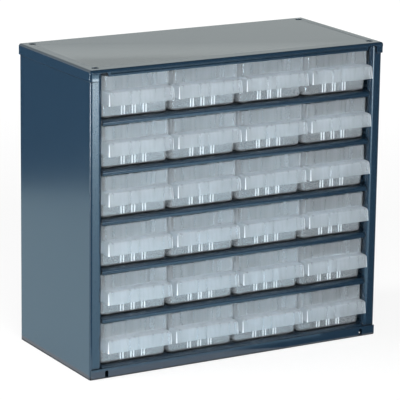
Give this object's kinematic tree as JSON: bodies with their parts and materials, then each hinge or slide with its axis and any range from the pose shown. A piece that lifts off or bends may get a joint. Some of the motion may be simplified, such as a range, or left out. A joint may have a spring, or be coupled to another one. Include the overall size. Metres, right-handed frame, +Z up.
{
  "type": "parts cabinet",
  "caption": "Upright folded-steel parts cabinet with rows of translucent pull-out drawers on shelves, each drawer with a moulded finger pull.",
  "frame": {"origin": "middle of the base's underside, under the steel body without the drawer pulls", "axes": "+X to the right seen from the front, +Y to the back, +Z up; the drawers face -Y"},
  "size_m": [0.306, 0.15, 0.283],
  "materials": {
    "painted_steel": "dark blue satin powder coat",
    "clear_polypropylene": "natural translucent moulded polypropylene"
  },
  "bodies": {
    "casing": {"top_cover": "painted_steel", "side_panel_left": "painted_steel", "side_panel_right": "painted_steel", "base_pan": "painted_steel", "back_panel": "painted_steel", "shelf_1": "painted_steel", "shelf_2": "painted_steel", "shelf_3": "painted_steel", "shelf_4": "painted_steel", "shelf_5": "painted_steel", "shelf_6": "painted_steel"},
    "drawer_r1c1": {"drawer_r1c1": "clear_polypropylene"},
    "drawer_r1c2": {"drawer_r1c2": "clear_polypropylene"},
    "drawer_r1c3": {"drawer_r1c3": "clear_polypropylene"},
    "drawer_r1c4": {"drawer_r1c4": "clear_polypropylene"},
    "drawer_r2c1": {"drawer_r2c1": "clear_polypropylene"},
    "drawer_r2c2": {"drawer_r2c2": "clear_polypropylene"},
    "drawer_r2c3": {"drawer_r2c3": "clear_polypropylene"},
    "drawer_r2c4": {"drawer_r2c4": "clear_polypropylene"},
    "drawer_r3c1": {"drawer_r3c1": "clear_polypropylene"},
    "drawer_r3c2": {"drawer_r3c2": "clear_polypropylene"},
    "drawer_r3c3": {"drawer_r3c3": "clear_polypropylene"},
    "drawer_r3c4": {"drawer_r3c4": "clear_polypropylene"},
    "drawer_r4c1": {"drawer_r4c1": "clear_polypropylene"},
    "drawer_r4c2": {"drawer_r4c2": "clear_polypropylene"},
    "drawer_r4c3": {"drawer_r4c3": "clear_polypropylene"},
    "drawer_r4c4": {"drawer_r4c4": "clear_polypropylene"},
    "drawer_r5c1": {"drawer_r5c1": "clear_polypropylene"},
    "drawer_r5c2": {"drawer_r5c2": "clear_polypropylene"},
    "drawer_r5c3": {"drawer_r5c3": "clear_polypropylene"},
    "drawer_r5c4": {"drawer_r5c4": "clear_polypropylene"},
    "drawer_r6c1": {"drawer_r6c1": "clear_polypropylene"},
    "drawer_r6c2": {"drawer_r6c2": "clear_polypropylene"},
    "drawer_r6c3": {"drawer_r6c3": "clear_polypropylene"},
    "drawer_r6c4": {"drawer_r6c4": "clear_polypropylene"}
  },
  "joints": [
    {"name": "slide_r1c1", "type": "slide", "parent": "casing", "child": "drawer_r1c1", "axis": [0, -1, 0], "range_m": [0, 0.115]},
    {"name": "slide_r1c2", "type": "slide", "parent": "casing", "child": "drawer_r1c2", "axis": [0, -1, 0], "range_m": [0, 0.115]},
    {"name": "slide_r1c3", "type": "slide", "parent": "casing", "child": "drawer_r1c3", "axis": [0, -1, 0], "range_m": [0, 0.115]},
    {"name": "slide_r1c4", "type": "slide", "parent": "casing", "child": "drawer_r1c4", "axis": [0, -1, 0], "range_m": [0, 0.115]},
    {"name": "slide_r2c1", "type": "slide", "parent": "casing", "child": "drawer_r2c1", "axis": [0, -1, 0], "range_m": [0, 0.115]},
    {"name": "slide_r2c2", "type": "slide", "parent": "casing", "child": "drawer_r2c2", "axis": [0, -1, 0], "range_m": [0, 0.115]},
    {"name": "slide_r2c3", "type": "slide", "parent": "casing", "child": "drawer_r2c3", "axis": [0, -1, 0], "range_m": [0, 0.115]},
    {"name": "slide_r2c4", "type": "slide", "parent": "casing", "child": "drawer_r2c4", "axis": [0, -1, 0], "range_m": [0, 0.115]},
    {"name": "slide_r3c1", "type": "slide", "parent": "casing", "child": "drawer_r3c1", "axis": [0, -1, 0], "range_m": [0, 0.115]},
    {"name": "slide_r3c2", "type": "slide", "parent": "casing", "child": "drawer_r3c2", "axis": [0, -1, 0], "range_m": [0, 0.115]},
    {"name": "slide_r3c3", "type": "slide", "parent": "casing", "child": "drawer_r3c3", "axis": [0, -1, 0], "range_m": [0, 0.115]},
    {"name": "slide_r3c4", "type": "slide", "parent": "casing", "child": "drawer_r3c4", "axis": [0, -1, 0], "range_m": [0, 0.115]},
    {"name": "slide_r4c1", "type": "slide", "parent": "casing", "child": "drawer_r4c1", "axis": [0, -1, 0], "range_m": [0, 0.115]},
    {"name": "slide_r4c2", "type": "slide", "parent": "casing", "child": "drawer_r4c2", "axis": [0, -1, 0], "range_m": [0, 0.115]},
    {"name": "slide_r4c3", "type": "slide", "parent": "casing", "child": "drawer_r4c3", "axis": [0, -1, 0], "range_m": [0, 0.115]},
    {"name": "slide_r4c4", "type": "slide", "parent": "casing", "child": "drawer_r4c4", "axis": [0, -1, 0], "range_m": [0, 0.115]},
    {"name": "slide_r5c1", "type": "slide", "parent": "casing", "child": "drawer_r5c1", "axis": [0, -1, 0], "range_m": [0, 0.115]},
    {"name": "slide_r5c2", "type": "slide", "parent": "casing", "child": "drawer_r5c2", "axis": [0, -1, 0], "range_m": [0, 0.115]},
    {"name": "slide_r5c3", "type": "slide", "parent": "casing", "child": "drawer_r5c3", "axis": [0, -1, 0], "range_m": [0, 0.115]},
    {"name": "slide_r5c4", "type": "slide", "parent": "casing", "child": "drawer_r5c4", "axis": [0, -1, 0], "range_m": [0, 0.115]},
    {"name": "slide_r6c1", "type": "slide", "parent": "casing", "child": "drawer_r6c1", "axis": [0, -1, 0], "range_m": [0, 0.115]},
    {"name": "slide_r6c2", "type": "slide", "parent": "casing", "child": "drawer_r6c2", "axis": [0, -1, 0], "range_m": [0, 0.115]},
    {"name": "slide_r6c3", "type": "slide", "parent": "casing", "child": "drawer_r6c3", "axis": [0, -1, 0], "range_m": [0, 0.115]},
    {"name": "slide_r6c4", "type": "slide", "parent": "casing", "child": "drawer_r6c4", "axis": [0, -1, 0], "range_m": [0, 0.115]}
  ]
}
